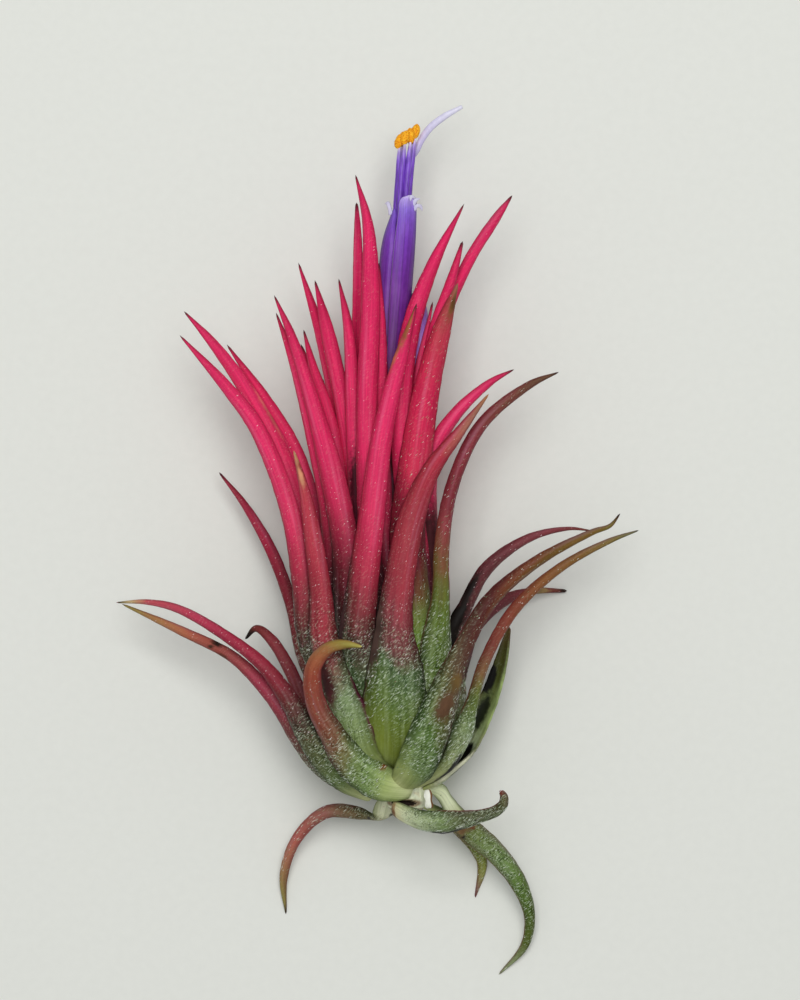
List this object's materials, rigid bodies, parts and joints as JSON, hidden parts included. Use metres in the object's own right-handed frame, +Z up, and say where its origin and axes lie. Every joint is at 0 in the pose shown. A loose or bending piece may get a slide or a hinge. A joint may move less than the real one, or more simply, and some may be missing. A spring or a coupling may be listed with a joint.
{
  "type": "fuego tillandsia ionantha",
  "caption": "Small flowering air plant lying on its side: a bulb of scaly leaf bases, a tuft of pink pointed leaves and a violet tube flower with yellow anthers.",
  "frame": {"origin": "on the surface the plant lies on, at the centre of its bounding box seen from above", "axes": "+Y along the plant from its base to its flower, +Z up from the surface, +X to the right seen from above"},
  "size_m": [0.0654, 0.1098, 0.024],
  "materials": {
    "stem_bark": "matte, dry",
    "petal_violet": "soft satin",
    "filament_purple": "soft satin",
    "style_pale": "soft satin, slightly translucent",
    "anther_yellow": "powdery matte",
    "leaf_orange": "matte, drying",
    "leaf_olive": "matte, scurfy",
    "leaf_maroon": "matte, finely scurfy",
    "leaf_green": "matte, silvery scales",
    "leaf_red": "satin, finely scurfy",
    "leaf_pink": "satin, finely scurfy",
    "leaf_salmon": "matte, drying",
    "leaf_silver": "matte, dense silvery scales"
  },
  "bodies": {
    "root": {"stem": "stem_bark", "petal_1": "petal_violet", "petal_2": "petal_violet", "petal_3": "petal_violet", "filaments": "filament_purple", "style": "style_pale", "anthers": "anther_yellow", "bud": "petal_violet", "leaf_curled": "leaf_orange", "leaf_front_right_low": "leaf_olive", "leaf_left_low": "leaf_maroon", "leaf_side_left_low": "leaf_orange", "leaf_side_right_low": "leaf_green", "leaf_under_mid": "leaf_red", "leaf_right_low": "leaf_orange", "leaf_left_withered": "leaf_maroon", "leaf_under_right": "leaf_maroon", "leaf_right_under": "leaf_maroon", "leaf_front_left": "leaf_maroon", "leaf_under_left": "leaf_red", "leaf_front_centre": "leaf_red", "leaf_left_dark": "leaf_maroon", "leaf_under_long": "leaf_red", "leaf_right_front": "leaf_red", "leaf_right_maroon": "leaf_maroon", "leaf_left_outer": "leaf_pink", "leaf_left_tall": "leaf_pink", "leaf_front_tall": "leaf_pink", "leaf_back_left_low": "leaf_pink", "leaf_right_pink": "leaf_pink", "leaf_left_front_tall": "leaf_pink", "leaf_left_behind_tall": "leaf_pink", "leaf_right_tall": "leaf_pink", "leaf_left_inner_fan": "leaf_pink", "leaf_back_right_low": "leaf_pink", "leaf_left_mid": "leaf_pink", "leaf_left_fan_inner": "leaf_pink", "leaf_left_back_tall": "leaf_pink", "leaf_right_back_tall": "leaf_pink", "leaf_back_left_mid": "leaf_pink", "leaf_right_mid": "leaf_pink", "leaf_back_right_mid": "leaf_pink", "leaf_left_centre": "leaf_pink", "leaf_crown": "leaf_pink", "leaf_small_fan_tip": "leaf_pink", "leaf_back_tall": "leaf_pink", "leaf_right_inner_tall": "leaf_pink", "leaf_back_left_high": "leaf_pink", "leaf_right_low_tip": "leaf_pink", "leaf_back_high": "leaf_pink", "leaf_right_small_tip": "leaf_pink", "leaf_front_inner": "leaf_pink", "leaf_droop_left": "leaf_salmon", "leaf_silver_front": "leaf_silver", "leaf_droop_right": "leaf_green", "leaf_droop_short": "leaf_silver"}
  },
  "joints": []
}
